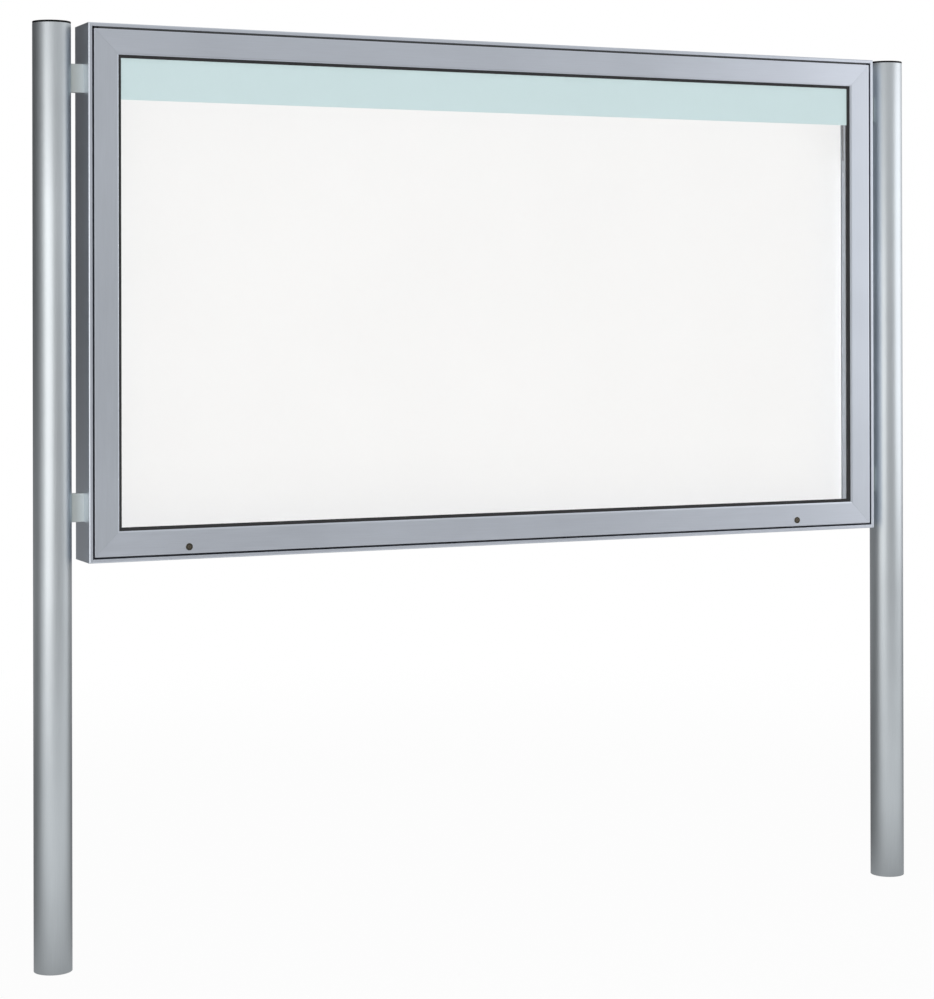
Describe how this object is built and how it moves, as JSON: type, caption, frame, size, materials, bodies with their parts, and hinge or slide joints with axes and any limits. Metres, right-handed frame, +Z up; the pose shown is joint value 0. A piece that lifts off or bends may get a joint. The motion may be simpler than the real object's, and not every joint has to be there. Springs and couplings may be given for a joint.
{
  "type": "lockable notice board",
  "caption": "Lockable outdoor notice board: glazed aluminium showcase with a top-hung door, locks and gas stays, carried between round posts.",
  "frame": {"origin": "on the ground, under the middle of the whole board: bottom centre of its box", "axes": "+X along the width to the viewer's right, -Y towards the reader in front of the glass, +Z up the posts"},
  "size_m": [2.044, 0.101, 1.8775],
  "materials": {
    "anodised_profile": "satin natural anodised",
    "anodised_tube": "satin natural anodised",
    "spacer_alloy": "matt anodised",
    "back_sheet": "mill finish sheet",
    "white_enamel": "white enamelled steel",
    "safety_glass": "clear toughened glass",
    "header_film": "pale blue-green film behind the glass",
    "black_rubber": "matt",
    "black_plastic": "moulded",
    "stainless_steel": "brushed",
    "dark_steel": "black coated",
    "lock_brass": "darkened"
  },
  "bodies": {
    "stand": {"post_left": "anodised_tube", "post_right": "anodised_tube", "post_cap_left": "black_plastic", "post_cap_right": "black_plastic", "spacer_lower_left": "spacer_alloy", "spacer_lower_right": "spacer_alloy", "spacer_upper_left": "spacer_alloy", "spacer_upper_right": "spacer_alloy", "spacer_bolt_lower_left": "stainless_steel", "spacer_bolt_lower_right": "stainless_steel", "spacer_bolt_upper_left": "stainless_steel", "spacer_bolt_upper_right": "stainless_steel", "case_top": "anodised_profile", "case_bottom": "anodised_profile", "case_left": "anodised_profile", "case_right": "anodised_profile", "case_cleat_lower_left": "stainless_steel", "case_cleat_lower_right": "stainless_steel", "case_cleat_upper_left": "stainless_steel", "case_cleat_upper_right": "stainless_steel", "back_panel": "back_sheet", "notice_panel": "white_enamel", "door_seal": "black_rubber", "hinge_leaf_case": "dark_steel", "hinge_pin": "stainless_steel", "striker_left": "stainless_steel", "striker_right": "stainless_steel", "stay_bracket_case_left": "stainless_steel", "stay_bracket_case_right": "stainless_steel"},
    "door": {"door_rail_top": "anodised_profile", "door_rail_bottom": "anodised_profile", "door_stile_left": "anodised_profile", "door_stile_right": "anodised_profile", "door_key_lower_left": "stainless_steel", "door_key_lower_right": "stainless_steel", "door_key_upper_left": "stainless_steel", "door_key_upper_right": "stainless_steel", "door_glass": "safety_glass", "gasket_front": "black_rubber", "gasket_rear": "black_rubber", "header_strip": "header_film", "glazing_bead_top": "anodised_profile", "glazing_bead_bottom": "anodised_profile", "glazing_bead_left": "anodised_profile", "glazing_bead_right": "anodised_profile", "hinge_leaf_door": "dark_steel", "lock_body_left": "dark_steel", "lock_body_right": "dark_steel", "lock_nut_left": "stainless_steel", "lock_nut_right": "stainless_steel", "stay_bracket_door_left": "stainless_steel", "stay_bracket_door_right": "stainless_steel"},
    "lock_left": {"lock_plug_left": "lock_brass", "lock_cam_left": "stainless_steel"},
    "stay_tube_left": {"stay_tube_left": "dark_steel"},
    "stay_rod_left": {"stay_rod_left": "stainless_steel"},
    "lock_right": {"lock_plug_right": "lock_brass", "lock_cam_right": "stainless_steel"},
    "stay_tube_right": {"stay_tube_right": "dark_steel"},
    "stay_rod_right": {"stay_rod_right": "stainless_steel"}
  },
  "joints": [
    {"name": "door_hinge", "type": "hinge", "parent": "stand", "child": "door", "pos_m": [0, -0.0473, 1.866], "axis": [-1, 0, 0], "range_deg": [0, 80]},
    {"name": "lock_left_turn", "type": "hinge", "parent": "door", "child": "lock_left", "pos_m": [-0.715, -0.0495, 0.8305], "axis": [0, 1, 0], "range_deg": [0, 90]},
    {"name": "lock_right_turn", "type": "hinge", "parent": "door", "child": "lock_right", "pos_m": [0.715, -0.0495, 0.8305], "axis": [0, 1, 0], "range_deg": [0, 90]},
    {"name": "stay_left_swing", "type": "hinge", "parent": "stand", "child": "stay_tube_left", "pos_m": [-0.876, -0.0013, 1.796], "axis": [-1, 0, 0], "range_deg": [0, 85.96]},
    {"name": "stay_left_slide", "type": "slide", "parent": "stay_tube_left", "child": "stay_rod_left", "axis": [0, -0.011, -0.9999], "range_m": [0, 0.10503]},
    {"name": "stay_right_swing", "type": "hinge", "parent": "stand", "child": "stay_tube_right", "pos_m": [0.876, -0.0013, 1.796], "axis": [-1, 0, 0], "range_deg": [0, 85.96]},
    {"name": "stay_right_slide", "type": "slide", "parent": "stay_tube_right", "child": "stay_rod_right", "axis": [0, -0.011, -0.9999], "range_m": [0, 0.10503]}
  ],
  "couplings": [
    {"joint": "stay_left_swing", "follows": "door_hinge", "ratio": 1.0745},
    {"joint": "stay_left_slide", "follows": "door_hinge", "m_per_rad": 0.075222},
    {"joint": "stay_right_swing", "follows": "door_hinge", "ratio": 1.0745},
    {"joint": "stay_right_slide", "follows": "door_hinge", "m_per_rad": 0.075222}
  ]
}
